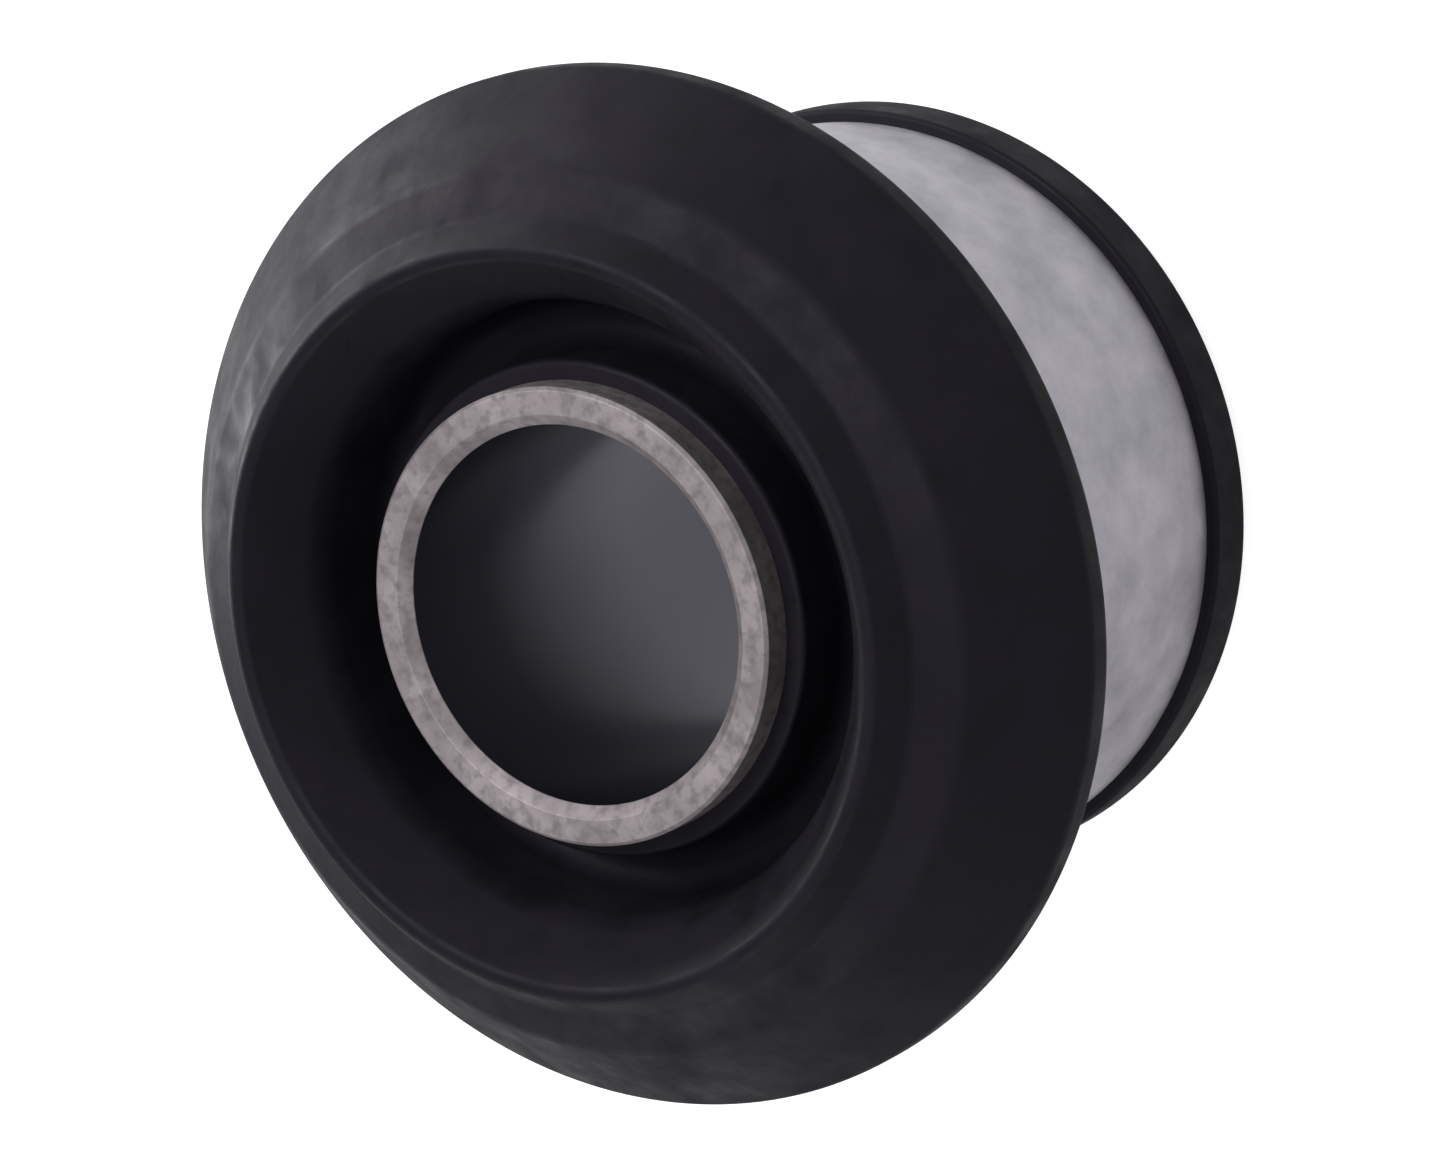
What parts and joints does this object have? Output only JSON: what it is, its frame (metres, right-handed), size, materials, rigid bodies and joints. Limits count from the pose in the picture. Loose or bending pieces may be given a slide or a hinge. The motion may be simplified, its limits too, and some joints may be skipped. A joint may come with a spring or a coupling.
{
  "type": "rubber metal bush",
  "caption": "Flanged rubber metal bush: a steel inner tube in a plated outer sleeve, bonded by one rubber moulding with a dished conical flange.",
  "frame": {"origin": "centre of the inner tube's rear end face, which the bush stands on", "axes": "+Z along the bore, from the rear end towards the dished flange; the bush is round about Z"},
  "size_m": [0.08, 0.08, 0.0535],
  "materials": {
    "steel_tube": "turned bare steel, satin",
    "moulded_rubber": "black moulded rubber, dull sheen",
    "zinc_sleeve": "zinc plated steel, matt and slightly mottled"
  },
  "bodies": {
    "root": {"inner_tube": "steel_tube", "rubber_body": "moulded_rubber", "outer_sleeve": "zinc_sleeve"}
  },
  "joints": []
}
